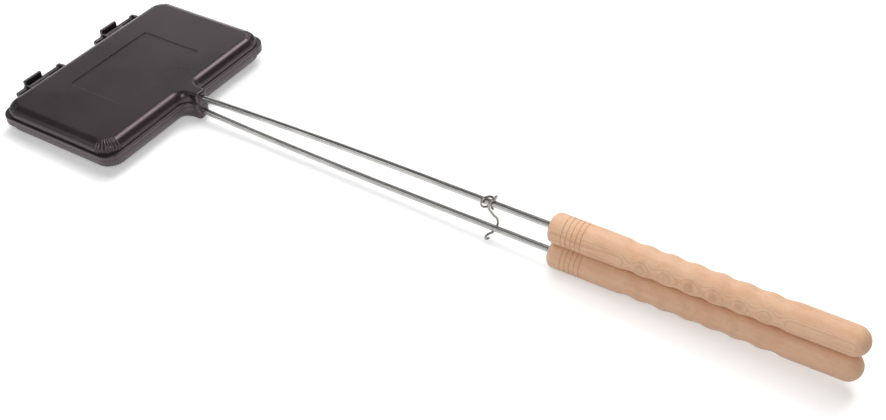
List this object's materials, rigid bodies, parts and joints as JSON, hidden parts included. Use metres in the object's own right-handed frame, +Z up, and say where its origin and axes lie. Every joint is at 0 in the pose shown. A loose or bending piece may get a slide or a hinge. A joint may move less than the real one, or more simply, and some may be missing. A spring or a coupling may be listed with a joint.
{
  "type": "campfire waffle iron",
  "caption": "Hinged rectangular cast waffle iron with long steel rods, round wooden handles and a wire latch that holds the rods together.",
  "frame": {"origin": "middle of the lower plate's flat underside, on which the closed iron stands over a fire or on a ring", "axes": "+X runs along the rods from the hinge to the handles, +Z points up from the lower plate to the upper one, +Y completes the frame"},
  "size_m": [0.8309, 0.233, 0.055],
  "materials": {
    "cast": "satin, seasoned",
    "pin_steel": "dull",
    "rod_steel": "drawn, bright",
    "handle_wood": "smooth, bare beech",
    "latch_wire": "bright drawn wire"
  },
  "bodies": {
    "lower_half": {"lower_plate": "cast", "hinge_pin_left": "pin_steel", "hinge_pin_right": "pin_steel", "lower_rod": "rod_steel", "lower_handle": "handle_wood"},
    "upper_half": {"upper_plate": "cast", "upper_rod": "rod_steel", "upper_handle": "handle_wood"},
    "latch": {"wire_latch": "latch_wire"}
  },
  "joints": [
    {"name": "plate_hinge", "type": "hinge", "parent": "lower_half", "child": "upper_half", "pos_m": [-0.0856, 0, 0.015], "axis": [0, -1, 0], "range_deg": [0, 180]},
    {"name": "latch_swing", "type": "hinge", "parent": "upper_half", "child": "latch", "pos_m": [0.4098, 0, 0.0289], "axis": [1, 0, 0], "range_deg": [0, 170]}
  ]
}
